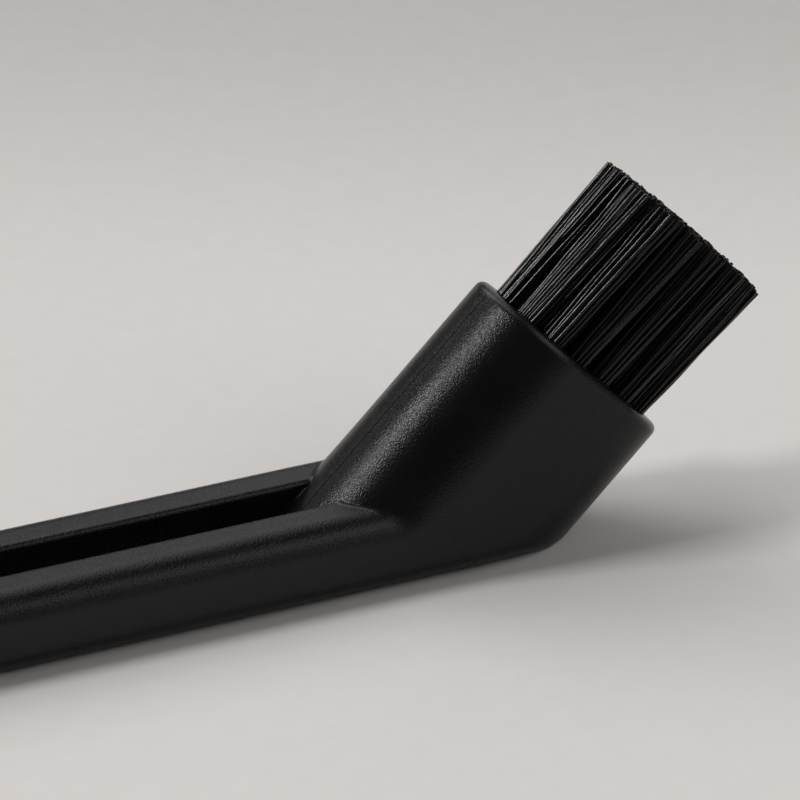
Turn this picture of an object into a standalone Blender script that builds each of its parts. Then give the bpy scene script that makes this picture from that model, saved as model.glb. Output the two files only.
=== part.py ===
"""A group head brush: a moulded handle whose two rails join in an angled head, set with bristle tufts.

The model stands on z = 0. The handle lies along X with the head at +X, and the brush is symmetric about
y = 0 apart from its tufts. Lengths are in metres.
"""
import itertools
import math
import random

import bmesh
import bpy
from mathutils import Euler, Matrix, Vector

# Handle
HANDLE_REACH = 0.134
HANDLE_WIDTH = 0.022
HANDLE_THICKNESS = 0.0118
HANDLE_EDGE_RADIUS = 0.004
SLOT_WIDTH = 0.0068
SLOT_TOP_RADIUS = 0.0008
SLOT_BASE_RADIUS = 0.0005

# Head
HEAD_TILT = math.radians(44)
HEAD_LENGTH = 0.036
HEAD_DEPTH = 0.034
RIM_RADIUS = 0.00115
CREASE_RADIUS = 0.0015
FOOT_RADIUS = 0.003

# Tuft holes
HOLE_DIAMETER = 0.0032
HOLE_DEPTH = 0.0065
HOLE_INSET = 0.0041
RING_COUNT = 2
TUFT_PITCH = 0.0047
RING_TURN_SHARES = (-0.25, 0.0)

# Tufts
TUFT_CLEARANCE = 0.0003
TUFT_SINK = 0.0004
TUFT_TIP_GAP = 0.0001
TUFT_FOLD = 0.001
BRISTLE_LENGTH = 0.0230
TRIM_CROWN = 0.0006
TRIM_SCATTER = 0.00015
STRAND_GAP = 0.00014
STRAND_SCATTER = 0.00005

# Anchors
ANCHOR_LENGTH = 0.0035
ANCHOR_HEIGHT = 0.0014
ANCHOR_THICKNESS = 0.0004
ANCHOR_CLEARANCE = 0.0003
ANCHOR_TURN = math.radians(75)

# How finely round shapes are divided
SLOT_STEPS = 2
FILLET_STEPS = 2
SIDE_STEPS = 8
BEND_STEPS = 4
RIM_STEPS = 3
LOOP_STEPS = 9
HOLE_SIDES = 16

CUT_OVERRUN = 0.001
WELD_DISTANCE = 0.000001
SMOOTH_ANGLE = math.radians(35)
STRAND_SEED = 7

# Values that follow from the sizes
HALF_WIDTH = HANDLE_WIDTH / 2
HALF_SLOT = SLOT_WIDTH / 2
EDGE_RADIUS = min(HANDLE_EDGE_RADIUS, HANDLE_THICKNESS / 2, HALF_WIDTH - HALF_SLOT - SLOT_TOP_RADIUS)
LOOP_CENTRE_X = HALF_WIDTH - HANDLE_REACH
ALONG = Vector((math.cos(HEAD_TILT), 0, math.sin(HEAD_TILT)))
ACROSS = Vector((-math.sin(HEAD_TILT), 0, math.cos(HEAD_TILT)))
ROOT = Vector((0, 0, HANDLE_THICKNESS))
FACE_CENTRE = ROOT - ACROSS * HEAD_DEPTH / 2 + ALONG * HEAD_LENGTH
PLUG_RADIUS = HOLE_DIAMETER / 2 - TUFT_CLEARANCE
PLUG_BASE = TUFT_CLEARANCE - HOLE_DEPTH
WINDOW_HEIGHT = ANCHOR_HEIGHT + 2 * ANCHOR_CLEARANCE
ANCHOR_CENTRE = PLUG_BASE + TUFT_FOLD + WINDOW_HEIGHT / 2


def clear_scene():
    for item in list(bpy.data.objects):
        bpy.data.objects.remove(item, do_unlink=True)


def new_material(name, colour, roughness, metallic):
    material = bpy.data.materials.new(name)
    material.use_nodes = True
    shader = material.node_tree.nodes["Principled BSDF"]
    shader.inputs["Base Color"].default_value = (*colour, 1)
    shader.inputs["Roughness"].default_value = roughness
    shader.inputs["Metallic"].default_value = metallic
    return material


def new_object(name, bm, material=None, parent=None):
    """Turns a bmesh into an object, with smooth shading across its shallow edges."""
    mesh = bpy.data.meshes.new(name)
    bm.to_mesh(mesh)
    bm.free()
    mesh.shade_smooth()
    mesh.set_sharp_from_angle(angle=SMOOTH_ANGLE)
    if material:
        mesh.materials.append(material)
    item = bpy.data.objects.new(name, mesh)
    item.parent = parent
    bpy.context.collection.objects.link(item)
    return item


def new_frame(name, location, rotation=(0, 0, 0), parent=None):
    """An empty that carries other objects."""
    item = bpy.data.objects.new(name, None)
    item.location = location
    item.rotation_euler = rotation
    item.parent = parent
    bpy.context.collection.objects.link(item)
    return item


def hide_cutter(item):
    item.hide_render = True
    item.display_type = "WIRE"


def cut(item, cutter):
    boolean = item.modifiers.new(cutter.name, "BOOLEAN")
    boolean.operation = "DIFFERENCE"
    boolean.object = cutter


def section_angles():
    """Angles round the head's top, from its middle line to its side, as two lists that share the slot's edge.

    An angle also gives the y of the handle's line that runs into the head there.
    """
    slot_edge = math.asin(HALF_SLOT / HALF_WIDTH)
    over_slot = [slot_edge * step / SLOT_STEPS for step in range(SLOT_STEPS + 1)]
    over_rail = []
    for step in range(FILLET_STEPS + 1):
        turn = math.radians(90) * step / FILLET_STEPS
        y = HALF_SLOT + SLOT_TOP_RADIUS * (1 - math.cos(turn))
        over_rail.append(math.asin(y / HALF_WIDTH))
    flat_start = over_rail[-1]
    for step in range(1, SIDE_STEPS + 1):
        over_rail.append(flat_start + (math.radians(90) - flat_start) * step / SIDE_STEPS)
    return over_slot, over_rail


def edge_drop(y):
    """How far the rail's rounded outer edge lies below its flat top at y, or above its flat underside."""
    past_flat = max(0, y - (HALF_WIDTH - EDGE_RADIUS))
    return EDGE_RADIUS - math.sqrt(max(0, EDGE_RADIUS ** 2 - past_flat ** 2))


def slot_drop(y):
    """The same for the small rounding along the top of the slot."""
    before_flat = max(0, HALF_SLOT + SLOT_TOP_RADIUS - y)
    return SLOT_TOP_RADIUS - math.sqrt(max(0, SLOT_TOP_RADIUS ** 2 - before_flat ** 2))


def head_point(angle, is_top, inset, reach):
    """A point on the head's oval section, at a distance along the head and with its outline moved in."""
    radius = HALF_WIDTH - inset
    side = 1 if is_top else -1
    offset = HEAD_DEPTH / 2 - HALF_WIDTH + radius * math.cos(angle)
    middle = ROOT - ACROSS * HEAD_DEPTH / 2
    return middle + ACROSS * offset * side + Vector((0, radius * math.sin(angle), 0)) + ALONG * reach


def meet_height(angle, is_top, z):
    """Where the head's line at this angle passes the height z."""
    start = head_point(angle, is_top, 0, 0)
    return start + ALONG * (z - start.z) / ALONG.z


def bend(corner, radius):
    """Points of an arc that turns a line along X into the head's direction, in place of a sharp corner."""
    start = corner - Vector((radius * math.tan(HEAD_TILT / 2), 0, 0))
    points = []
    for step in range(BEND_STEPS + 1):
        turn = HEAD_TILT * step / BEND_STEPS
        points.append(start + Vector((radius * math.sin(turn), 0, radius * (1 - math.cos(turn)))))
    return points


def rim_points(angle, is_top):
    """The head's line at the rim, and its way round the rim's rounded edge."""
    points = []
    for step in range(RIM_STEPS + 1):
        turn = math.radians(90) * step / RIM_STEPS
        inset = RIM_RADIUS * (1 - math.cos(turn))
        reach = HEAD_LENGTH - RIM_RADIUS * (1 - math.sin(turn))
        points.append(head_point(angle, is_top, inset, reach))
    return points


def loop_points(y, z):
    """A quarter turn of the handle's end, from its tip to the start of the rail."""
    points = []
    for step in range(LOOP_STEPS + 1):
        turn = math.radians(90) * step / LOOP_STEPS
        points.append(Vector((LOOP_CENTRE_X - y * math.cos(turn), y * math.sin(turn), z)))
    return points


def top_column(angle):
    y = HALF_WIDTH * math.sin(angle)
    z = HANDLE_THICKNESS - edge_drop(y) - slot_drop(y)
    return loop_points(y, z) + bend(meet_height(angle, True, z), CREASE_RADIUS) + rim_points(angle, True)


def base_column(angle):
    y = HALF_WIDTH * math.sin(angle)
    z = edge_drop(y)
    return loop_points(y, z) + bend(meet_height(angle, False, z), FOOT_RADIUS) + rim_points(angle, False)


def slot_end_column(angle):
    """The head's top line over the slot, which runs on down between the rails to the underside."""
    return [meet_height(angle, True, 0)] + rim_points(angle, True)


def base_middle_column(angle):
    """The underside's line in front of the slot."""
    return [meet_height(angle, True, 0)] + bend(meet_height(angle, False, 0), FOOT_RADIUS) + rim_points(angle, False)


def add_face(bm, points):
    bm.faces.new([bm.verts.new(point) for point in points])


def add_strip(bm, first, second):
    """Faces between two columns with as many points."""
    for index in range(len(first) - 1):
        add_face(bm, [first[index], first[index + 1], second[index + 1], second[index]])


def add_half_body(bm):
    """The half of the handle and head at y > 0, built from lines that run along the handle and bend up the head."""
    over_slot, over_rail = section_angles()
    tops = [top_column(angle) for angle in over_rail]
    bases = [base_column(angle) for angle in over_rail]
    del bases[1:FILLET_STEPS]
    for first, second in zip(tops, tops[1:]):
        add_strip(bm, first, second)
    add_strip(bm, tops[-1], bases[-1])
    rail_start = LOOP_STEPS
    slot_corner = meet_height(over_rail[0], True, 0)
    for index, (first, second) in enumerate(zip(bases, bases[1:])):
        if index:
            add_strip(bm, first, second)
            continue
        add_strip(bm, first[:rail_start + 1], second[:rail_start + 1])
        add_face(bm, [first[rail_start], slot_corner, first[rail_start + 1], second[rail_start + 1],
                      second[rail_start]])
        add_strip(bm, first[rail_start + 1:], second[rail_start + 1:])
    add_strip(bm, tops[0][:rail_start + 1], bases[0][:rail_start + 1])
    rail_wall = tops[0][rail_start:rail_start + BEND_STEPS + 2]
    add_face(bm, rail_wall + [slot_corner, bases[0][rail_start]])
    ends = [slot_end_column(angle) for angle in over_slot]
    middles = [base_middle_column(angle) for angle in over_slot]
    for first, second in zip(middles, middles[1:]):
        add_strip(bm, first, second)
    for first, second in zip(ends[:-1], ends[1:-1]):
        add_strip(bm, first, second)
    add_face(bm, [ends[-2][0], ends[-1][0], rail_wall[-1], ends[-1][1], ends[-2][1]])
    add_strip(bm, ends[-2][1:], ends[-1][1:])


def round_slot_base(bm):
    """Rounds the edges where the slot opens in the underside."""
    edges = []
    for edge in bm.edges:
        on_base = all(abs(vert.co.z) < WELD_DISTANCE for vert in edge.verts)
        walls = [face for face in edge.link_faces if abs(face.normal.z) < math.cos(SMOOTH_ANGLE)]
        inside = all(math.hypot(min(0, vert.co.x - LOOP_CENTRE_X), vert.co.y) < HALF_SLOT + WELD_DISTANCE
                     for vert in edge.verts)
        if on_base and inside and len(walls) == 1:
            edges.append(edge)
    bmesh.ops.bevel(bm, geom=edges, offset=SLOT_BASE_RADIUS, offset_type="OFFSET", segments=FILLET_STEPS,
                    profile=0.5, affect="EDGES")


def make_handle(material, parent):
    bm = bmesh.new()
    add_half_body(bm)
    bmesh.ops.remove_doubles(bm, verts=bm.verts, dist=WELD_DISTANCE)
    bmesh.ops.mirror(bm, geom=bm.verts[:] + bm.edges[:] + bm.faces[:], axis="Y", merge_dist=WELD_DISTANCE)
    rim = [edge for edge in bm.edges if edge.is_boundary]
    bmesh.ops.edgeloop_fill(bm, edges=rim)
    bmesh.ops.recalc_face_normals(bm, faces=bm.faces)
    round_slot_base(bm)
    return new_object("handle", bm, material, parent)


def ring_places(radius, turn_share):
    """Evenly spaced points round an oval ring of the head's own straight length, as (across, sideways)."""
    straight = HEAD_DEPTH - HANDLE_WIDTH
    perimeter = 2 * math.pi * radius + 2 * straight
    count = int(perimeter / TUFT_PITCH)
    quarter = math.pi * radius / 2
    places = []
    for index in range(count):
        travel = (index + turn_share) / count * perimeter
        side = 1
        if travel < 0 or travel > perimeter / 2:
            travel = (perimeter - travel) % perimeter
            side = -1
        if travel < quarter:
            turn = travel / radius
            place = (straight / 2 + radius * math.cos(turn), radius * math.sin(turn))
        elif travel < quarter + straight:
            place = (straight / 2 - (travel - quarter), radius)
        else:
            turn = (travel - quarter - straight) / radius
            place = (-straight / 2 - radius * math.sin(turn), radius * math.cos(turn))
        places.append((place[0], place[1] * side))
    return places


def tuft_rings():
    """The rings of tufts from the outside in, whose straight rows lie evenly across the head."""
    outer_radius = HALF_WIDTH - HOLE_INSET
    row_step = 2 * outer_radius / (2 * RING_COUNT - 1)
    rings = []
    for index in range(RING_COUNT):
        turn_share = RING_TURN_SHARES[index % len(RING_TURN_SHARES)]
        rings.append(ring_places(outer_radius - index * row_step, turn_share))
    return rings


def tip_spread(places):
    """How much wider a tuft is at its tips than at its root, so that it stays clear of its nearest neighbour."""
    nearest = min(math.dist(first, second) for first, second in itertools.combinations(places, 2))
    return (nearest - TUFT_TIP_GAP) / (2 * PLUG_RADIUS)


def make_hole_cutter(places, parent):
    bm = bmesh.new()
    depth = HOLE_DEPTH + CUT_OVERRUN
    for across, sideways in places:
        centre = Matrix.Translation((across, sideways, CUT_OVERRUN - depth / 2))
        bmesh.ops.create_cone(bm, cap_ends=True, segments=HOLE_SIDES, radius1=HOLE_DIAMETER / 2,
                              radius2=HOLE_DIAMETER / 2, depth=depth, matrix=centre)
    cutter = new_object("tuft_holes", bm, parent=parent)
    hide_cutter(cutter)
    return cutter


def add_anchor_plate(bm, place, margin):
    """The flat piece of wire across a hole, or with a margin the space that it needs."""
    size = (ANCHOR_LENGTH + 2 * margin, ANCHOR_THICKNESS + 2 * margin, ANCHOR_HEIGHT + 2 * margin)
    matrix = Matrix.LocRotScale(Vector((*place, ANCHOR_CENTRE)), Euler((0, 0, ANCHOR_TURN)), Vector(size))
    bmesh.ops.create_cube(bm, size=1, matrix=matrix)


def make_anchor_cutter(places, parent):
    bm = bmesh.new()
    for place in places:
        add_anchor_plate(bm, place, ANCHOR_CLEARANCE)
    cutter = new_object("anchor_spaces", bm, parent=parent)
    hide_cutter(cutter)
    return cutter


def make_anchor(name, place, material, parent):
    bm = bmesh.new()
    add_anchor_plate(bm, place, 0)
    return new_object(name, bm, material, parent)


def add_plug(bm):
    """The tuft's round root in its hole. Its top is split in 24 triangles, and those that carry strands are returned."""
    top = Matrix.Translation((0, 0, -TUFT_SINK))
    bmesh.ops.create_circle(bm, cap_ends=True, cap_tris=True, segments=6, radius=PLUG_RADIUS, matrix=top)
    bmesh.ops.subdivide_edges(bm, edges=bm.edges[:], cuts=1, use_grid_fill=True)
    rim = [edge for edge in bm.edges if edge.is_boundary]
    for vert in {vert for edge in rim for vert in edge.verts}:
        flat = vert.co.xy.normalized() * PLUG_RADIUS
        vert.co.xy = flat
    tops = bm.faces[:]
    walls = bmesh.ops.extrude_edge_only(bm, edges=rim)["geom"]
    lower = [item for item in walls if isinstance(item, bmesh.types.BMVert)]
    bmesh.ops.translate(bm, verts=lower, vec=(0, 0, PLUG_BASE + TUFT_SINK))
    bmesh.ops.edgeloop_fill(bm, edges=[edge for edge in bm.edges if edge.is_boundary])
    bmesh.ops.recalc_face_normals(bm, faces=bm.faces)
    middle = [face for face in tops if face.calc_center_median().xy.length < PLUG_RADIUS / 2]
    middle.sort(key=lambda face: math.atan2(face.calc_center_median().y, face.calc_center_median().x))
    return [face for face in tops if face not in middle[::2]]


def trim_height(x, y):
    """The slightly crowned surface to which the bristles are trimmed, above the head's face."""
    share = (x ** 2 + y ** 2) / (HEAD_DEPTH / 2) ** 2
    return BRISTLE_LENGTH - TRIM_CROWN * share


def add_strands(bm, faces, place, spread, chance):
    """Draws each face out to a strand. The strands spread evenly from the root, so that none cross."""
    bmesh.ops.inset_individual(bm, faces=faces, thickness=STRAND_GAP / 2)
    tips = bmesh.ops.extrude_discrete_faces(bm, faces=faces)["faces"]
    for tip in tips:
        centre = tip.calc_center_median()
        x = centre.x * spread + chance.uniform(-1, 1) * STRAND_SCATTER
        y = centre.y * spread + chance.uniform(-1, 1) * STRAND_SCATTER
        z = trim_height(place[0] + x, place[1] + y) - chance.random() * TRIM_SCATTER
        bmesh.ops.translate(bm, verts=tip.verts, vec=Vector((x, y, z)) - centre)


def make_tuft(name, place, spread, chance, material, parent):
    bm = bmesh.new()
    add_strands(bm, add_plug(bm), place, spread, chance)
    tuft = new_object(name, bm, material, parent)
    tuft.location = (*place, 0)
    return tuft


def centre_on_origin(brush, pieces):
    """Moves the brush so that the middle of its length is at x = 0."""
    bpy.context.view_layer.update()
    reach = [(piece.matrix_world @ vert.co).x for piece in pieces for vert in piece.data.vertices]
    brush.location.x -= (min(reach) + max(reach)) / 2


def main():
    clear_scene()
    moulding = new_material("black_polypropylene", (0.012, 0.012, 0.013), 0.45, 0)
    filament = new_material("black_nylon", (0.01, 0.01, 0.011), 0.35, 0)
    wire = new_material("anchor_wire", (0.62, 0.6, 0.56), 0.3, 1)
    brush = new_frame("brush", (0, 0, 0))
    face_turn = Matrix((ACROSS, Vector((0, -1, 0)), ALONG)).transposed().to_euler()
    face = new_frame("bristle_face", FACE_CENTRE, face_turn, brush)
    rings = tuft_rings()
    places = [place for ring in rings for place in ring]
    spread = tip_spread(places)
    holes = make_hole_cutter(places, face)
    spaces = make_anchor_cutter(places, face)
    handle = make_handle(moulding, brush)
    cut(handle, holes)
    cut(handle, spaces)
    pieces = [handle]
    chance = random.Random(STRAND_SEED)
    for ring_number, ring in enumerate(rings, 1):
        for number, place in enumerate(ring, 1):
            name = f"{ring_number}_{number:02d}"
            tuft = make_tuft("tuft_" + name, place, spread, chance, filament, face)
            cut(tuft, spaces)
            pieces.append(tuft)
            pieces.append(make_anchor("anchor_" + name, place, wire, face))
    centre_on_origin(brush, pieces)


main()
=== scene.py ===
import math

import bmesh
import bpy
from mathutils import Matrix, Vector


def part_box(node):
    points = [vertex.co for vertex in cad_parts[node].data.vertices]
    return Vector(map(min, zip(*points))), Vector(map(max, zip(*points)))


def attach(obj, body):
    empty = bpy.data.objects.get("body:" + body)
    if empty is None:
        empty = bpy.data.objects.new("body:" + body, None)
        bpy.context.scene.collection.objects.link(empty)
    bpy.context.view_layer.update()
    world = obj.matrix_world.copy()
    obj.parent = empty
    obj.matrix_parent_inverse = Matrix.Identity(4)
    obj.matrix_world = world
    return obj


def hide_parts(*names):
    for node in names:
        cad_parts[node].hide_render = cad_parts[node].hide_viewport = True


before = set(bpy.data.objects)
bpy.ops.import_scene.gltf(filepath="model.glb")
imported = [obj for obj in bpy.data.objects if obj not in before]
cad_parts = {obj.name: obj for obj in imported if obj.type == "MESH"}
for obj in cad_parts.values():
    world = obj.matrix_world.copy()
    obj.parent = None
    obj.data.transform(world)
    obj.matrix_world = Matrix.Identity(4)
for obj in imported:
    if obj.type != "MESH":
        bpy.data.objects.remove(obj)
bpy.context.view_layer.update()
print("frame loaded:", len(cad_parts), "CAD nodes")

moulding = {
    "reach": 0.134,            # handle's end to the head's root
    "width": 0.022,
    "thickness": 0.0118,
    "edgeRadius": 0.004,
    "slotWidth": 0.0068,
    "slotTopRadius": 0.0008,
    "slotBaseRadius": 0.0005,
    "headTilt": math.radians(44),
    "headLength": 0.036,
    "headDepth": 0.034,
    "rimRadius": 0.00115,
    "land": 0.0003,            # narrow strip beside each rounding that keeps its shading clean
    "creaseRadius": 0.0015,
    "outerCreaseRadius": 0.008,   # the crease grows softer down the rail's rounded edge
    "cornerRadius": 0.0004,    # where the slot's slanted end meets its walls
    "cornerFade": 0.0016,
    "footRadius": 0.003,
    "holeDiameter": 0.0032,
    "holeDepth": 0.0065,
    "barrel": 0.027,           # how much the head's sides swell at their middle, as a share of the width
    "barrelReach": 0.013,      # from the sides' middle to where they are drawn in by as much
    "barrelFade": 0.012,       # along the head, from its root
    "lineWidth": 0.00015,      # the mould's parting line
    "lineDepth": 0.00012,
    "lineLeast": 0.01,         # share of the depth below which a point stays where it is
}

mouldingSteps = {
    "fillet": 5,
    "side": 30,
    "slotBase": 4,
    "slotHalf": 5,
    "corner": 5,
    "cornerFade": 4,
    "loop": 26,
    "rail": 10,
    "belly": 8,
    "slope": 4,
    "bend": 10,
    "head": 7,
    "rim": 7,
    "hole": 32,
}

halfWidth = moulding["width"] / 2
halfSlot = moulding["slotWidth"] / 2
halfDepth = moulding["headDepth"] / 2
alongHead = Vector((math.cos(moulding["headTilt"]), 0, math.sin(moulding["headTilt"])))
acrossHead = Vector((-math.sin(moulding["headTilt"]), 0, math.cos(moulding["headTilt"])))
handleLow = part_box("handle")[0]
root = Vector((handleLow.x + moulding["reach"], 0, moulding["thickness"]))
loopCentreX = handleLow.x + halfWidth
faceCentre = root - acrossHead * halfDepth + alongHead * moulding["headLength"]
faceMatrix = Matrix((acrossHead, Vector((0, -1, 0)), alongHead)).transposed().to_4x4()
faceMatrix.translation = faceCentre
smoothAngle = math.radians(35)
weldDistance = 0.000001


def linkObject(name, mesh):
    item = bpy.data.objects.new(name, mesh)
    bpy.context.scene.collection.objects.link(item)
    return item


def between(first, second, count):
    # evenly spaced points strictly between two
    return [first.lerp(second, step / (count + 1)) for step in range(1, count + 1)]


def cornerStart():
    # angle at which the rounding in the slot's corner leaves the head's surface
    radius = moulding["cornerRadius"]
    return math.asin((halfSlot - radius) / (halfWidth + radius))


def sectionAngles():
    # angles round the head from its parting line to its side, split at the slot's edge
    sideways = [0]
    cornerY = halfWidth * math.sin(cornerStart())
    for low, high, steps in (
        (moulding["lineWidth"] / 2, cornerY, mouldingSteps["slotHalf"]),
        (cornerY, halfSlot, mouldingSteps["corner"]),
    ):
        sideways += [low + (high - low) * step / steps for step in range(steps)]
    sideways.append(halfSlot)
    overSlot = [math.asin(y / halfWidth) for y in sideways]
    overRail = []
    for step in range(mouldingSteps["fillet"] + 1):
        turn = math.radians(90) * step / mouldingSteps["fillet"]
        y = halfSlot + moulding["slotTopRadius"] * (1 - math.cos(turn))
        overRail.append(math.asin(y / halfWidth))
    start = overRail[-1]
    for step in range(1, mouldingSteps["side"] + 1):
        overRail.append(start + (math.radians(90) - start) * step / mouldingSteps["side"])
    return overSlot, overRail


def edgeDrop(y):
    radius = moulding["edgeRadius"]
    past = max(0, y - (halfWidth - radius))
    return radius - math.sqrt(max(0, radius ** 2 - past ** 2))


def slotDrop(y):
    radius = moulding["slotTopRadius"]
    before = max(0, halfSlot + radius - y)
    return radius - math.sqrt(max(0, radius ** 2 - before ** 2))


def creaseRadiusAt(y):
    share = max(0, y - (halfWidth - moulding["edgeRadius"])) / moulding["edgeRadius"]
    inner, outer = moulding["creaseRadius"], moulding["outerCreaseRadius"]
    return inner + (outer - inner) * share ** 2


def headPoint(angle, side, inset, reach):
    # side is 1 on the head's top half and -1 on its lower half
    radius = halfWidth - inset
    offset = halfDepth - halfWidth + radius * math.cos(angle)
    middle = root - acrossHead * halfDepth
    return middle + acrossHead * offset * side + Vector((0, radius * math.sin(angle), 0)) + alongHead * reach


def meetHeight(angle, side, z):
    start = headPoint(angle, side, 0, 0)
    return start + alongHead * (z - start.z) / alongHead.z


def bendPoints(corner, radius):
    # an arc that turns a line along X into the head's direction
    tilt = moulding["headTilt"]
    start = corner - Vector((radius * math.tan(tilt / 2), 0, 0))
    points = [start - Vector((moulding["land"], 0, 0))]
    for step in range(mouldingSteps["bend"] + 1):
        turn = tilt * step / mouldingSteps["bend"]
        points.append(start + Vector((radius * math.sin(turn), 0, radius * (1 - math.cos(turn)))))
    return points


def rimPoints(angle, side):
    radius = moulding["rimRadius"]
    points = []
    for step in range(mouldingSteps["rim"] + 1):
        turn = math.radians(90) * step / mouldingSteps["rim"]
        reach = moulding["headLength"] - radius * (1 - math.sin(turn))
        points.append(headPoint(angle, side, radius * (1 - math.cos(turn)), reach))
    points.append(headPoint(angle, side, radius + moulding["land"], moulding["headLength"]))
    return points


def headLine(first, angle, side):
    # from a point on the head's line up to the rim and over it
    rim = rimPoints(angle, side)
    land = alongHead * moulding["land"]
    low, high = first + land, rim[0] - land
    return [first, low] + between(low, high, mouldingSteps["head"]) + [high] + rim


def loopPoints(y, z):
    # a quarter turn of the handle's end, with close rows at the parting line
    edges = [0, moulding["lineWidth"] / 2]
    turns = [math.asin(edge / y) for edge in edges]
    start = turns[-1]
    for step in range(1, mouldingSteps["loop"] + 1):
        turns.append(start + (math.radians(90) - start) * step / mouldingSteps["loop"])
    return [Vector((loopCentreX - y * math.cos(turn), y * math.sin(turn), z)) for turn in turns]


def topColumn(angle):
    y = halfWidth * math.sin(angle)
    z = moulding["thickness"] - edgeDrop(y) - slotDrop(y)
    loop = loopPoints(y, z)
    bend = bendPoints(meetHeight(angle, 1, z), creaseRadiusAt(y))
    rail = between(loop[-1], bend[0], mouldingSteps["rail"] + mouldingSteps["belly"] + 1)
    return loop + rail + bend[:-1] + headLine(bend[-1], angle, 1)


def baseColumn(angle, cornerX):
    y = halfWidth * math.sin(angle)
    z = edgeDrop(y)
    loop = loopPoints(y, z)
    corner = Vector((cornerX, y, z))
    rail = between(loop[-1], corner, mouldingSteps["rail"])
    bend = bendPoints(meetHeight(angle, -1, z), moulding["footRadius"])
    belly = between(corner, bend[0], mouldingSteps["belly"])
    return loop + rail + [corner] + belly + bend[:-1] + headLine(bend[-1], angle, -1)


def cornerShift(angle):
    # from the head's surface to the rounding in the slot's corner, square to the head's direction
    start = cornerStart()
    startY = halfWidth * math.sin(start)
    share = (halfWidth * math.sin(angle) - startY) / (halfSlot - startY)
    if share <= 0:
        return Vector()
    radius = moulding["cornerRadius"]
    turn = math.pi + start - (math.pi / 2 + start) * share
    up = (halfWidth + radius) * math.cos(start) + radius * math.cos(turn) - halfWidth * math.cos(angle)
    sideways = halfSlot - radius + radius * math.sin(turn) - halfWidth * math.sin(angle)
    return acrossHead * up + Vector((0, sideways, 0))


def slopeColumn(angle, bendEndZ):
    # the head's top line carried on down through the slot to the underside
    corner = meetHeight(angle, 1, 0)
    upper = meetHeight(angle, 1, bendEndZ)
    fade = alongHead * moulding["cornerFade"]
    low, high = corner + fade, upper - fade
    points = [corner] + between(corner, low, mouldingSteps["cornerFade"] - 1) + [low]
    points += between(low, high, mouldingSteps["slope"]) + [high]
    points += between(high, upper, mouldingSteps["cornerFade"] - 1)
    shift = cornerShift(angle)
    rounded = []
    for point in points:
        distance = min((point - corner).length, (upper - point).length)
        rounded.append(point + shift * min(1, distance / moulding["cornerFade"]) ** 2)
    return rounded + headLine(upper, angle, 1)


def bellyColumn(angle):
    corner = meetHeight(angle, 1, 0)
    bend = bendPoints(meetHeight(angle, -1, 0), moulding["footRadius"])
    flat = [corner] + between(corner, bend[0], mouldingSteps["belly"])
    return flat + bend[:-1] + headLine(bend[-1], angle, -1)


def addFace(bm, points):
    bm.faces.new([bm.verts.new(point) for point in points])


def addStrip(bm, first, second):
    for index in range(len(first) - 1):
        addFace(bm, [first[index], first[index + 1], second[index + 1], second[index]])


def addHalfBody(bm):
    overSlot, overRail = sectionAngles()
    tops = [topColumn(angle) for angle in overRail]
    slotCorner = meetHeight(overRail[0], 1, 0)
    lowerAngles = overRail[:1] + overRail[mouldingSteps["fillet"]:]
    bases = [baseColumn(angle, slotCorner.x) for angle in lowerAngles]
    for first, second in zip(tops, tops[1:]):
        addStrip(bm, first, second)
    addStrip(bm, tops[-1], bases[-1])
    for first, second in zip(bases, bases[1:]):
        addStrip(bm, first, second)
    loopEnd = mouldingSteps["loop"] + 1
    bendEnd = loopEnd + mouldingSteps["rail"] + mouldingSteps["belly"] + 3 + mouldingSteps["bend"]
    addStrip(bm, tops[0][:loopEnd + 1], bases[0][:loopEnd + 1])
    slopes = [slopeColumn(angle, tops[0][bendEnd].z) for angle in overSlot]
    bellies = [bellyColumn(angle) for angle in overSlot]
    for columns in (slopes, bellies):
        for first, second in zip(columns, columns[1:]):
            addStrip(bm, first, second)
    cornerRow = loopEnd + mouldingSteps["rail"] + 1
    slopeEnd = mouldingSteps["slope"] + 2 * mouldingSteps["cornerFade"] + 1
    wall = tops[0][loopEnd:bendEnd] + slopes[-1][slopeEnd:0:-1]
    addFace(bm, wall + bases[0][cornerRow:loopEnd - 1:-1])


def roundSlotBase(bm):
    # the small radius where the slot opens in the underside
    edges = []
    for edge in bm.edges:
        onBase = all(abs(vert.co.z) < weldDistance for vert in edge.verts)
        walls = [face for face in edge.link_faces if abs(face.normal.z) < math.cos(smoothAngle)]
        reach = [math.hypot(min(0, vert.co.x - loopCentreX), vert.co.y) for vert in edge.verts]
        if onBase and len(walls) == 1 and max(reach) < halfSlot + weldDistance:
            edges.append(edge)
    bmesh.ops.bevel(bm, geom=edges, offset=moulding["slotBaseRadius"], offset_type="OFFSET",
                    segments=mouldingSteps["slotBase"], profile=0.5, affect="EDGES")


def barrelHead(bm):
    # the head's sides are very slightly swollen, not flat, which fades in softly along the head
    toFace = faceMatrix.inverted()
    for vert in bm.verts:
        local = toFace @ vert.co
        grown = min(1, max(0, (local.z + moulding["headLength"]) / moulding["barrelFade"]))
        fade = grown ** 2 * (3 - 2 * grown)
        depth = min(1, abs(local.x) / moulding["barrelReach"])
        vert.co.y *= 1 + moulding["barrel"] * fade * math.cos(depth * math.pi)


def pressPartingLine(bm):
    # a shallow groove along the middle plane, which ends where the rim begins to round
    bm.normal_update()
    rimStart = moulding["headLength"] - moulding["rimRadius"]
    for vert in bm.verts:
        share = 1 - abs(vert.co.y) / (moulding["lineWidth"] / 2)
        if share > moulding["lineLeast"] and (vert.co - root).dot(alongHead) < rimStart:
            vert.co -= vert.normal * moulding["lineDepth"] * share


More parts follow.
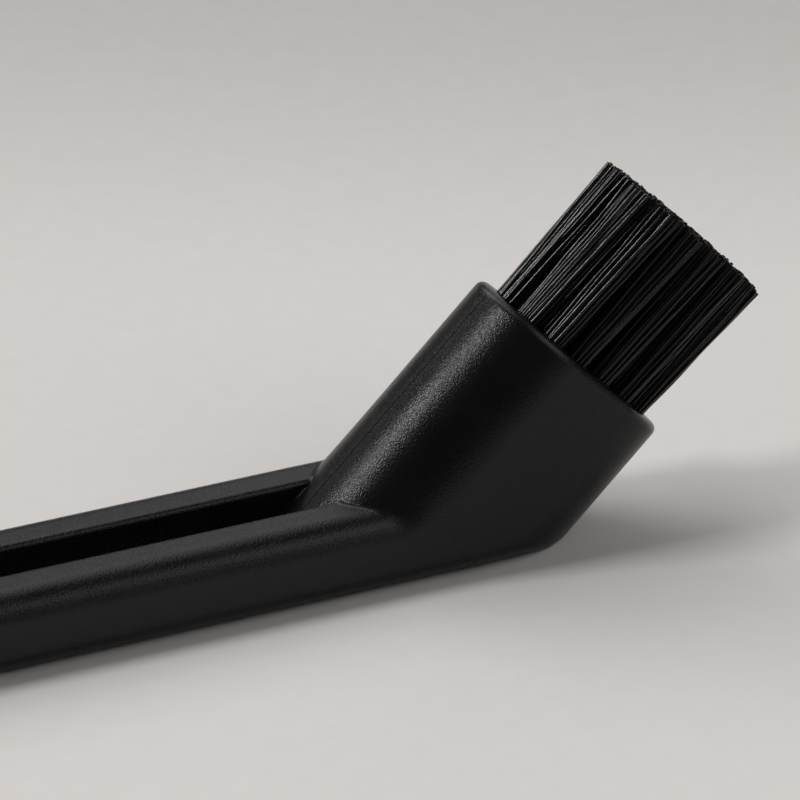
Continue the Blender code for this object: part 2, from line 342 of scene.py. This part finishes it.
def divideSlotWalls(bm):
    # each wall has long rows of points on one line, so it is cut here into triangles that all have an area
    for face in bm.faces[:]:
        if len(face.verts) > 4 and abs(face.normal.y) > math.cos(smoothAngle):
            bmesh.ops.triangulate(bm, faces=[face], quad_method="BEAUTY", ngon_method="BEAUTY")


def tuftCentres():
    # the CAD tufts' roots say where the holes are, in the face's own frame
    centres = []
    for name, node in sorted(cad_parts.items()):
        if not name.startswith("tuft_"):
            continue
        local = [faceMatrix.inverted() @ vert.co for vert in node.data.vertices]
        floor = min(point.z for point in local)
        base = [point for point in local if point.z < floor + weldDistance]
        x = (min(point.x for point in base) + max(point.x for point in base)) / 2
        y = (min(point.y for point in base) + max(point.y for point in base)) / 2
        centres.append(Vector((x, y, 0)))
    return centres


def makeHoleCutter(centres):
    bm = bmesh.new()
    radius = moulding["holeDiameter"] / 2
    overrun = moulding["rimRadius"]
    depth = moulding["holeDepth"] + overrun
    for centre in centres:
        place = faceMatrix @ Matrix.Translation(centre + Vector((0, 0, overrun - depth / 2)))
        bmesh.ops.create_cone(bm, cap_ends=True, segments=mouldingSteps["hole"], radius1=radius,
                              radius2=radius, depth=depth, matrix=place)
    mesh = bpy.data.meshes.new("holeCutter")
    bm.to_mesh(mesh)
    bm.free()
    return linkObject("holeCutter", mesh)


def evaluatedCopy(item, name):
    # the modifiers' result as a plain object, in place of the one that carried them
    graph = bpy.context.evaluated_depsgraph_get()
    mesh = bpy.data.meshes.new_from_object(item.evaluated_get(graph))
    mesh.name = name
    bpy.data.objects.remove(item)
    return linkObject(name, mesh)


def makeMoulding(centres, material):
    bm = bmesh.new()
    addHalfBody(bm)
    bmesh.ops.remove_doubles(bm, verts=bm.verts, dist=weldDistance)
    bmesh.ops.mirror(bm, geom=bm.verts[:] + bm.edges[:] + bm.faces[:], axis="Y", merge_dist=weldDistance)
    bmesh.ops.edgeloop_fill(bm, edges=[edge for edge in bm.edges if edge.is_boundary])
    bmesh.ops.recalc_face_normals(bm, faces=bm.faces)
    roundSlotBase(bm)
    barrelHead(bm)
    pressPartingLine(bm)
    divideSlotWalls(bm)
    mesh = bpy.data.meshes.new("handleBlank")
    bm.to_mesh(mesh)
    bm.free()
    blank = linkObject("handleBlank", mesh)
    cutter = makeHoleCutter(centres)
    drill = blank.modifiers.new("drill", "BOOLEAN")
    drill.operation = "DIFFERENCE"
    drill.object = cutter
    piece = evaluatedCopy(blank, "mouldedHandle")
    bpy.data.objects.remove(cutter)
    piece.data.shade_smooth()
    piece.data.set_sharp_from_angle(angle=smoothAngle)
    piece.data.materials.clear()
    piece.data.materials.append(material)
    return piece


bristles = {
    "perTuft": 30,
    "diameter": 0.00045,
    "sides": 7,
    "steps": 12,
    "length": 0.02375,
    "sink": 0.003,             # how far the filaments reach into their hole
    "spread": 1.54,            # tuft's width at the tips over its width at the hole
    "crown": 0.0005,           # how much lower the tips lie at the ends of the face
    "shoulder": 0.00045,       # the further drop of the outermost tips
    "shoulderPower": 6.0,
    "trimScatter": 0.00024,
    "longestPower": 5.0,       # the higher, the fewer filaments keep their whole length
    "jitter": 0.00006,
    "lean": 0.00026,
    "stray": 0.0009,           # how much further a few filaments lean
    "strayPower": 16.0,        # the higher, the fewer they are
    "lay": (-0.00043, 0.00043, 0.0),   # how far all tips lean, in the face's own frame
    "wave": 0.00038,
    "waveScale": 135.0,
    "waveApart": 50.0,         # how differently neighbouring filaments wave
    "waveShare": (0.3, 1.0),   # each filament's own share of the wave
    "turnScale": 9000.0,       # these two turn each tuft's pattern by an angle from its place
    "turnAlong": (1.0, 1.7, 0.0),
    "seed": 12,
}

goldenAngle = math.radians(137.508)


class TreeBuilder:
    # short calls for adding and joining nodes of one tree
    def __init__(self, tree):
        self.tree = tree

    def node(self, kind, settings=None, **inputs):
        made = self.tree.nodes.new(kind)
        for key, value in (settings or {}).items():
            setattr(made, key, value)
        for key, value in inputs.items():
            self.feed(made.inputs[key.replace("_", " ")], value)
        return made

    def feed(self, socket, value):
        if isinstance(value, bpy.types.NodeSocket):
            self.tree.links.new(value, socket)
        else:
            socket.default_value = value

    def operation(self, kind, name, values):
        made = self.node(kind, {"operation": name})
        for index, value in enumerate(values):
            self.feed(made.inputs[index], value)
        return made

    def math(self, name, *values):
        return self.operation("ShaderNodeMath", name, values).outputs[0]

    def vector(self, name, *values):
        return self.operation("ShaderNodeVectorMath", name, values).outputs[0]

    def dot(self, first, second):
        return self.operation("ShaderNodeVectorMath", "DOT_PRODUCT", (first, second)).outputs["Value"]

    def scaled(self, vector, factor):
        made = self.operation("ShaderNodeVectorMath", "SCALE", (vector,))
        self.feed(made.inputs["Scale"], factor)
        return made.outputs[0]

    def combined(self, x, y, z):
        return self.node("ShaderNodeCombineXYZ", X=x, Y=y, Z=z).outputs[0]

    def random(self, seed, shift, low=-1.0, high=1.0):
        # the shift gives each use draws of its own, and the numbered sockets are the ones for plain numbers
        made = self.node("FunctionNodeRandomValue", {"data_type": "FLOAT"})
        made.inputs[2].default_value = low
        made.inputs[3].default_value = high
        self.feed(made.inputs["Seed"], self.math("ADD", seed, shift))
        return made.outputs[1]

    def store(self, geometry, name, kind, value):
        made = self.node("GeometryNodeStoreNamedAttribute", {"data_type": kind, "domain": "POINT"},
                         Geometry=geometry, Name=name, Value=value)
        return made.outputs["Geometry"]

    def read(self, name, kind):
        made = self.node("GeometryNodeInputNamedAttribute", {"data_type": kind}, Name=name)
        return made.outputs["Attribute"]


def bristleTree():
    tree = bpy.data.node_groups.new("tuftFilaments", "GeometryNodeTree")
    sockets = [
        ("Filaments per tuft", "NodeSocketInt"), ("Hole radius", "NodeSocketFloat"),
        ("Filament radius", "NodeSocketFloat"), ("Sides", "NodeSocketInt"), ("Points", "NodeSocketInt"),
        ("Length", "NodeSocketFloat"), ("Sink", "NodeSocketFloat"), ("Spread", "NodeSocketFloat"),
        ("Crown", "NodeSocketFloat"), ("Crown reach", "NodeSocketFloat"), ("Shoulder", "NodeSocketFloat"),
        ("Core length", "NodeSocketFloat"), ("Tips reach", "NodeSocketFloat"),
        ("Trim scatter", "NodeSocketFloat"), ("Jitter", "NodeSocketFloat"), ("Lean", "NodeSocketFloat"),
        ("Stray", "NodeSocketFloat"), ("Lay", "NodeSocketVector"), ("Wave", "NodeSocketFloat"),
        ("Wave scale", "NodeSocketFloat"), ("Seed", "NodeSocketInt"), ("Material", "NodeSocketMaterial"),
    ]
    tree.interface.new_socket("Geometry", in_out="INPUT", socket_type="NodeSocketGeometry")
    for name, kind in sockets:
        tree.interface.new_socket(name, in_out="INPUT", socket_type=kind)
    tree.interface.new_socket("Geometry", in_out="OUTPUT", socket_type="NodeSocketGeometry")
    build = TreeBuilder(tree)
    given = build.node("NodeGroupInput").outputs
    position = build.node("GeometryNodeInputPosition").outputs["Position"]

    # one point for each filament, packed in a disc round its tuft's centre
    copies = build.node("GeometryNodeDuplicateElements", {"domain": "POINT"}, Geometry=given["Geometry"],
                        Amount=given["Filaments per tuft"])
    number = copies.outputs["Duplicate Index"]
    tuftPhase = build.dot(build.scaled(position, bristles["turnScale"]), bristles["turnAlong"])
    share = build.math("DIVIDE", build.math("ADD", number, 0.5), given["Filaments per tuft"])
    packRadius = build.math("SUBTRACT", given["Hole radius"], given["Filament radius"])
    discRadius = build.math("MULTIPLY", packRadius, build.math("SQRT", share))
    turn = build.math("ADD", build.math("MULTIPLY", number, goldenAngle), tuftPhase)
    disc = build.combined(build.math("MULTIPLY", discRadius, build.math("COSINE", turn)),
                          build.math("MULTIPLY", discRadius, build.math("SINE", turn)), 0.0)
    jitterWay = build.combined(build.random(given["Seed"], 1), build.random(given["Seed"], 2), 0.0)
    offset = build.vector("ADD", disc, build.scaled(jitterWay, given["Jitter"]))
    rarely = build.math("POWER", build.random(given["Seed"], 5, 0.0, 1.0), bristles["strayPower"])
    leanReach = build.math("ADD", given["Lean"], build.math("MULTIPLY", given["Stray"], rarely))
    leanWay = build.combined(build.random(given["Seed"], 3), build.random(given["Seed"], 4), 0.0)
    lean = build.vector("ADD", build.scaled(leanWay, leanReach), given["Lay"])

    # the trimmed tips lie on a slightly crowned surface
    tip = build.vector("ADD", build.vector("ADD", position, build.scaled(offset, given["Spread"])), lean)
    fromMiddle = build.vector("DIVIDE", tip, build.combined(given["Crown reach"], given["Crown reach"], 1.0))
    drop = build.math("MULTIPLY", given["Crown"], build.dot(fromMiddle, fromMiddle))
    coreEnd = build.combined(build.math("MULTIPLY", given["Core length"], 0.5), 0.0, 0.0)
    core = build.vector("MAXIMUM", build.vector("MINIMUM", tip, coreEnd), build.scaled(coreEnd, -1.0))
    fromCore = build.vector("SUBTRACT", tip, core)
    outward = build.math("DIVIDE", build.math("SQRT", build.dot(fromCore, fromCore)), given["Tips reach"])
    steep = build.math("POWER", outward, bristles["shoulderPower"])
    drop = build.math("ADD", drop, build.math("MULTIPLY", given["Shoulder"], steep))
    longest = build.math("POWER", build.random(given["Seed"], 6, 0.0, 1.0), bristles["longestPower"])
    scatter = build.math("MULTIPLY", given["Trim scatter"], build.math("SUBTRACT", 1.0, longest))
    height = build.math("SUBTRACT", build.math("SUBTRACT", given["Length"], drop), scatter)

    geometry = copies.outputs["Geometry"]
    geometry = build.store(geometry, "rootPlace", "FLOAT_VECTOR", build.vector("ADD", position, offset))
    geometry = build.store(geometry, "rootOffset", "FLOAT_VECTOR", offset)
    geometry = build.store(geometry, "leanTo", "FLOAT_VECTOR", lean)
    geometry = build.store(geometry, "tipHeight", "FLOAT", height)
    geometry = build.store(geometry, "waver", "FLOAT", build.random(given["Seed"], 8, *bristles["waveShare"]))
    geometry = build.store(geometry, "filamentShade", "FLOAT", build.random(given["Seed"], 7, 0.0, 1.0))

    # a straight line for each, then bent to its own course
    line = build.node("GeometryNodeCurvePrimitiveLine", End=build.combined(0.0, 0.0, given["Length"]))
    line = build.node("GeometryNodeResampleCurve", Curve=line.outputs["Curve"], Count=given["Points"])
    placed = build.node("GeometryNodeInstanceOnPoints", Points=geometry, Instance=line.outputs["Curve"])
    lines = build.node("GeometryNodeRealizeInstances", Geometry=placed.outputs["Instances"])
    rise = build.node("GeometryNodeSplineParameter").outputs["Factor"]
    rootPlace = build.read("rootPlace", "FLOAT_VECTOR")
    fan = build.scaled(build.read("rootOffset", "FLOAT_VECTOR"),
                       build.math("MULTIPLY", build.math("SUBTRACT", given["Spread"], 1.0), rise))
    leaning = build.scaled(build.read("leanTo", "FLOAT_VECTOR"), rise)
    apart = build.scaled(rootPlace, bristles["waveApart"])
    noise = build.node("ShaderNodeTexNoise", {"noise_dimensions": "3D"},
                       Vector=build.vector("ADD", apart, position), Scale=given["Wave scale"], Detail=0.0)
    # from 0 to 1 into -1 to 1, and only across the filament
    ripple = build.vector("MULTIPLY", build.vector("SUBTRACT", noise.outputs["Color"], (0.5, 0.5, 0.5)),
                          (2.0, 2.0, 0.0))
    waver = build.math("MULTIPLY", build.read("waver", "FLOAT"), build.math("SQRT", rise))
    ripple = build.scaled(ripple, build.math("MULTIPLY", given["Wave"], waver))
    depth = build.math("MULTIPLY", given["Sink"], build.math("SUBTRACT", rise, 1.0))
    lift = build.math("ADD", build.math("MULTIPLY", build.read("tipHeight", "FLOAT"), rise), depth)
    course = build.vector("ADD", build.vector("ADD", rootPlace, fan), build.vector("ADD", leaning, ripple))
    course = build.vector("ADD", course, build.combined(0.0, 0.0, lift))
    bent = build.node("GeometryNodeSetPosition", Geometry=lines.outputs["Geometry"], Position=course)

    # a round filament along each line
    profile = build.node("GeometryNodeCurvePrimitiveCircle", Resolution=given["Sides"],
                         Radius=given["Filament radius"])
    solid = build.node("GeometryNodeCurveToMesh", Curve=bent.outputs["Geometry"],
                       Profile_Curve=profile.outputs["Curve"], Fill_Caps=True)
    geometry = solid.outputs["Mesh"]
    for name in ("rootPlace", "rootOffset", "leanTo", "tipHeight", "waver"):
        tidy = build.node("GeometryNodeRemoveAttribute", Geometry=geometry, Name=name)
        geometry = tidy.outputs["Geometry"]
    geometry = build.node("GeometryNodeRealizeInstances", Geometry=geometry).outputs["Geometry"]
    painted = build.node("GeometryNodeSetMaterial", Geometry=geometry, Material=given["Material"])
    build.node("NodeGroupOutput", Geometry=painted.outputs["Geometry"])
    return tree


def makeBristles(centres, material):
    mesh = bpy.data.meshes.new("tuftRoots")
    mesh.from_pydata([tuple(centre) for centre in centres], [], [])
    roots = linkObject("tuftRoots", mesh)
    coreHalf = halfDepth - halfWidth
    fromCore = [math.hypot(max(0, abs(centre.x) - coreHalf), centre.y) for centre in centres]
    tipsReach = max(fromCore) + moulding["holeDiameter"] / 2 * bristles["spread"]
    grow = roots.modifiers.new("filaments", "NODES")
    grow.node_group = bristleTree()
    values = {
        "Filaments per tuft": bristles["perTuft"], "Hole radius": moulding["holeDiameter"] / 2,
        "Filament radius": bristles["diameter"] / 2, "Sides": bristles["sides"],
        "Points": bristles["steps"] + 1, "Length": bristles["length"], "Sink": bristles["sink"],
        "Spread": bristles["spread"], "Crown": bristles["crown"], "Crown reach": halfDepth,
        "Shoulder": bristles["shoulder"], "Core length": coreHalf * 2, "Tips reach": tipsReach,
        "Trim scatter": bristles["trimScatter"], "Jitter": bristles["jitter"], "Lean": bristles["lean"],
        "Stray": bristles["stray"], "Lay": bristles["lay"], "Wave": bristles["wave"],
        "Wave scale": bristles["waveScale"], "Seed": bristles["seed"], "Material": material,
    }
    for socket in grow.node_group.interface.items_tree:
        if socket.in_out == "INPUT" and socket.name in values:
            grow[socket.identifier] = values[socket.name]
    piece = evaluatedCopy(roots, "bristleTufts")
    piece.data.transform(faceMatrix)
    piece.data.update()
    return piece


plastic = {
    "colour": (0.0046, 0.0046, 0.0048),
    "paler": (0.0060, 0.0059, 0.0060),
    "blotchSize": 0.009,       # how large the slightly paler areas are
    "blotchDetail": 3.0,
    "blotchRange": (0.35, 0.7),
    "roughness": (0.26, 0.31),
    "roughRange": (0.35, 0.65),
    "grainShare": 0.5,         # the grain's part in the roughness, the blotches have the rest
    "specular": 0.28,
    "grainSize": 0.0002,       # the spark-eroded texture of the mould
    "grainDetail": 0.5,
    "grainRoughness": 0.4,
    "grainHeight": 0.000045,
    "waveSize": 0.012,         # slow unevenness of a moulded face
    "waveDetail": 1.0,
    "waveHeight": 0.00004,
}

nylon = {
    "colour": (0.007, 0.007, 0.0075),
    "paler": (0.018, 0.018, 0.019),
    "roughness": (0.14, 0.24),
    "roughRange": (0.3, 0.7),
    "shadeShare": 0.4,         # the filament's own shade in the roughness, its streaks have the rest
    "specular": 0.38,
    "streakSize": 0.00008,
    "streakStretch": (0.06, 1.0, 1.0),
    "streakDetail": 2.0,
    "streakHeight": 0.000004,
    "streakStrength": 0.6,
}

wire = {
    "colour": (0.62, 0.60, 0.56),
    "darker": (0.42, 0.40, 0.37),
    "roughness": (0.25, 0.42),
    "roughRange": (0.3, 0.7),
    "scratchSize": 0.00006,
    "scratchStretch": (1.0, 1.0, 0.1),
    "scratchDetail": 3.0,
    "scratchHeight": 0.000003,
    "scratchStrength": 0.5,
}


def newMaterial(name):
    material = bpy.data.materials.new(name)
    material.use_nodes = True
    build = TreeBuilder(material.node_tree)
    shader = material.node_tree.nodes["Principled BSDF"]
    coordinates = build.node("ShaderNodeTexCoord").outputs["Object"]
    return material, build, shader, coordinates


def noiseOf(build, vector, size, detail, roughness=0.5):
    made = build.node("ShaderNodeTexNoise", Vector=vector, Scale=1 / size, Detail=detail, Roughness=roughness)
    return made.outputs["Fac"]


def mixColours(build, factor, first, second):
    # the node's inputs 6 and 7 and its output 2 are the ones for colours
    made = build.node("ShaderNodeMix", {"data_type": "RGBA"})
    build.feed(made.inputs["Factor"], factor)
    for index, colour in ((6, first), (7, second)):
        build.feed(made.inputs[index], (*colour, 1) if isinstance(colour, tuple) else colour)
    return made.outputs[2]


def remapped(build, value, before, after, kind="LINEAR"):
    made = build.node("ShaderNodeMapRange", {"interpolation_type": kind}, Value=value, From_Min=before[0],
                      From_Max=before[1], To_Min=after[0], To_Max=after[1])
    return made.outputs["Result"]


def setRoughness(build, shader, first, second, secondShare, finish):
    # two textures together, laid out between the finish's two roughnesses
    rough = build.math("ADD", build.math("MULTIPLY", first, 1 - secondShare),
                       build.math("MULTIPLY", second, secondShare))
    build.feed(shader.inputs["Roughness"], remapped(build, rough, finish["roughRange"], finish["roughness"]))


def plasticMaterial():
    material, build, shader, coordinates = newMaterial("blackMouldedPlastic")
    grain = noiseOf(build, coordinates, plastic["grainSize"], plastic["grainDetail"],
                    plastic["grainRoughness"])
    blotches = noiseOf(build, coordinates, plastic["blotchSize"], plastic["blotchDetail"])
    slow = noiseOf(build, coordinates, plastic["waveSize"], plastic["waveDetail"])
    pale = remapped(build, blotches, plastic["blotchRange"], (0.0, 1.0))
    build.feed(shader.inputs["Base Color"], mixColours(build, pale, plastic["colour"], plastic["paler"]))
    setRoughness(build, shader, blotches, grain, plastic["grainShare"], plastic)
    shader.inputs["Specular IOR Level"].default_value = plastic["specular"]
    waves = build.node("ShaderNodeBump", Height=slow, Distance=plastic["waveHeight"], Strength=1.0)
    bump = build.node("ShaderNodeBump", Height=grain, Distance=plastic["grainHeight"], Strength=1.0,
                      Normal=waves.outputs["Normal"])
    build.feed(shader.inputs["Normal"], bump.outputs["Normal"])
    return material


def nylonMaterial():
    material, build, shader, coordinates = newMaterial("blackNylonFilament")
    # stretched along the filaments, so that each has its own faint streaks
    turned = build.node("ShaderNodeMapping", Vector=coordinates, Rotation=(0.0, moulding["headTilt"], 0.0))
    stretched = build.vector("MULTIPLY", turned.outputs["Vector"], nylon["streakStretch"])
    streaks = noiseOf(build, stretched, nylon["streakSize"], nylon["streakDetail"])
    shade = build.node("ShaderNodeAttribute", {"attribute_name": "filamentShade"}).outputs["Fac"]
    build.feed(shader.inputs["Base Color"], mixColours(build, shade, nylon["colour"], nylon["paler"]))
    setRoughness(build, shader, streaks, shade, nylon["shadeShare"], nylon)
    shader.inputs["Specular IOR Level"].default_value = nylon["specular"]
    bump = build.node("ShaderNodeBump", Height=streaks, Distance=nylon["streakHeight"],
                      Strength=nylon["streakStrength"])
    build.feed(shader.inputs["Normal"], bump.outputs["Normal"])
    return material


def wireMaterial():
    material, build, shader, coordinates = newMaterial("anchorWire")
    stretched = build.vector("MULTIPLY", coordinates, wire["scratchStretch"])
    scratches = noiseOf(build, stretched, wire["scratchSize"], wire["scratchDetail"])
    build.feed(shader.inputs["Base Color"], mixColours(build, scratches, wire["colour"], wire["darker"]))
    build.feed(shader.inputs["Roughness"], remapped(build, scratches, wire["roughRange"], wire["roughness"]))
    shader.inputs["Metallic"].default_value = 1.0
    bump = build.node("ShaderNodeBump", Height=scratches, Distance=wire["scratchHeight"],
                      Strength=wire["scratchStrength"])
    build.feed(shader.inputs["Normal"], bump.outputs["Normal"])
    return material


view = {
    "azimuth": math.radians(-25.22),
    "elevation": math.radians(27.28),
    "metresPerPixel": 0.0001346,
    "distancePixels": 8606,
    "imagePixels": 800,
    "rootPixel": (317.7, 491.7),   # where the head's root shows in the photograph
    "sensor": 36,
    "clip": (0.01, 100),
}


def viewAxes(azimuth, elevation):
    right = Vector((math.cos(azimuth), math.sin(azimuth), 0))
    back = Vector((math.sin(azimuth) * math.cos(elevation), -math.cos(azimuth) * math.cos(elevation),
                   math.sin(elevation)))
    return right, back.cross(right), back


def makeCamera():
    right, up, back = viewAxes(view["azimuth"], view["elevation"])
    scale = view["metresPerPixel"]
    middle = view["imagePixels"] / 2
    place = root + right * (middle - view["rootPixel"][0]) * scale
    place += up * (view["rootPixel"][1] - middle) * scale
    place += back * view["distancePixels"] * scale
    data = bpy.data.cameras.new("photoCamera")
    data.sensor_width = view["sensor"]
    data.lens = view["distancePixels"] / view["imagePixels"] * view["sensor"]
    data.clip_start, data.clip_end = view["clip"]
    camera = linkObject("photoCamera", data)
    turn = Matrix((right, up, back)).transposed().to_4x4()
    camera.matrix_world = Matrix.Translation(place) @ turn
    bpy.context.scene.camera = camera


studio = {
    "floorSize": 14.0,
    # the floor's one colour is painted lighter and darker by place: painted shade behind the object and past
    # the front of the picture, painted light in front
    "floorNear": (0.802, 0.767, 0.744),
    "floorFarShaded": (0.569, 0.542, 0.524),
    "farShadeRange": (0.080, 0.220),      # from and to how far behind the object the floor is painted darker, as painted shade where the light falls off
    "frontPaintedLight": 0.16,               # painted light: how much paler the floor is painted in front, as a share of the step from far to near
    "frontLightRange": (-0.050, 0.030),
    "floorEdgeShade": (0.12, 0.115, 0.111),   # painted shade: past the front of the picture the floor is painted dark
    "edgeShadeRange": (-0.120, -0.060),
    "mottle": 0.1,                   # uneven tone, as a share of the same step
    "mottleSize": 0.004,
    "mottleDetail": 4.0,
    "floorRoughness": 0.9,
    "floorSpecular": 0.2,
    "worldGrey": 0.038,
    "horizonColour": (0.50, 0.48, 0.46),
}

lamps = {
    "keySoftbox": {"from": (-0.711, 0.183, 0.678), "distance": 1.5, "size": (0.36, 0.16), "power": 7.4},
    "overheadSoftbox": {"from": (0.03, 0.32, 0.946), "distance": 1.5, "size": (0.8, 0.8), "power": 4.5},
    "rightSoftbox": {"from": (0.600, -0.476, 0.643), "distance": 0.8, "size": (0.8, 0.43), "power": 1.55},
    "backSoftbox": {"from": (-0.133, 0.754, 0.643), "distance": 1.5, "size": (0.8, 0.8), "power": 5.5},
    "backRightSoftbox": {"from": (0.383, 0.663, 0.643), "distance": 1.5, "size": (0.8, 0.8), "power": 1.9},
    "lowFrontSoftbox": {"from": (0.50, -0.85, 0.17), "distance": 1.5, "size": (0.5, 0.25), "power": 0.65},
    "lowRightSoftbox": {"from": (0.629, 0.749, 0.208), "distance": 1.5, "size": (0.8, 0.8), "power": 1.3},
    "lowBackSoftbox": {"from": (-0.629, 0.749, 0.208), "distance": 1.5, "size": (0.8, 0.8), "power": 0.9},
}


def makeLamp(name, lamp):
    data = bpy.data.lights.new(name, "AREA")
    data.shape = "RECTANGLE"
    data.size, data.size_y = lamp["size"]
    data.energy = lamp["power"]
    item = linkObject(name, data)
    towards = Vector(lamp["from"]).normalized()
    aim = Vector((root.x, 0, moulding["thickness"]))
    turn = towards.to_track_quat("Z", "Y").to_matrix().to_4x4()
    item.matrix_world = Matrix.Translation(aim + towards * lamp["distance"]) @ turn


def makeWorld():
    # a dim room, which the camera sees in the floor's own tone
    world = bpy.data.worlds.new("studioWorld")
    bpy.context.scene.world = world
    world.use_nodes = True
    build = TreeBuilder(world.node_tree)
    background = world.node_tree.nodes["Background"]
    rays = build.node("ShaderNodeLightPath").outputs["Is Camera Ray"]
    seen = mixColours(build, rays, (studio["worldGrey"],) * 3, studio["horizonColour"])
    build.feed(background.inputs["Color"], seen)
    background.inputs["Strength"].default_value = 1.0


def makeFloor():
    half = studio["floorSize"] / 2
    corners = [(-half, -half, 0), (half, -half, 0), (half, half, 0), (-half, half, 0)]
    mesh = bpy.data.meshes.new("studioFloor")
    mesh.from_pydata(corners, [], [(0, 1, 2, 3)])
    floor = linkObject("studioFloor", mesh)
    material, build, shader, coordinates = newMaterial("paleFloor")
    away = build.dot(coordinates, (-math.sin(view["azimuth"]), math.cos(view["azimuth"]), 0.0))
    # painted shade: the floor is painted darker further behind the object
    paintedFarShade = remapped(build, away, studio["farShadeRange"], (0.0, 1.0), "SMOOTHSTEP")
    # painted light: the floor is painted paler in front of the object
    before = remapped(build, away, studio["frontLightRange"], (-studio["frontPaintedLight"], 0.0), "SMOOTHSTEP")
    # painted shade: past the front of the picture the floor is painted dark, which the head's side reflects
    paintedEdgeShade = remapped(build, away, studio["edgeShadeRange"], (1.0, 0.0), "SMOOTHSTEP")
    noise = noiseOf(build, coordinates, studio["mottleSize"], studio["mottleDetail"])
    mottle = remapped(build, noise, (0.0, 1.0), (-studio["mottle"], studio["mottle"]))
    fade = build.math("ADD", build.math("ADD", paintedFarShade, before), mottle)
    tone = mixColours(build, fade, studio["floorNear"], studio["floorFarShaded"])
    # so that the painted light in front can go paler than the near tone
    tone.node.clamp_factor = False
    build.feed(shader.inputs["Base Color"], mixColours(build, paintedEdgeShade, tone, studio["floorEdgeShade"]))
    shader.inputs["Roughness"].default_value = studio["floorRoughness"]
    shader.inputs["Specular IOR Level"].default_value = studio["floorSpecular"]
    mesh.materials.append(material)


bpy.context.scene.view_settings.view_transform = "Standard"
makeCamera()
for name, lamp in lamps.items():
    makeLamp(name, lamp)
makeWorld()
makeFloor()
print("camera, lights and floor made")

centres = tuftCentres()
handle = makeMoulding(centres, plasticMaterial())
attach(handle, "root")
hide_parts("handle")
print("moulding made:", len(handle.data.polygons), "faces")

tufts = makeBristles(centres, nylonMaterial())
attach(tufts, "root")
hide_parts(*[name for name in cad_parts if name.startswith("tuft_")])
print("bristles made:", len(tufts.data.polygons), "faces in", len(centres), "tufts")

anchorFinish = wireMaterial()
for name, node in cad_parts.items():
    if name.startswith("anchor_"):
        node.data.materials.clear()
        node.data.materials.append(anchorFinish)
print("anchors finished")
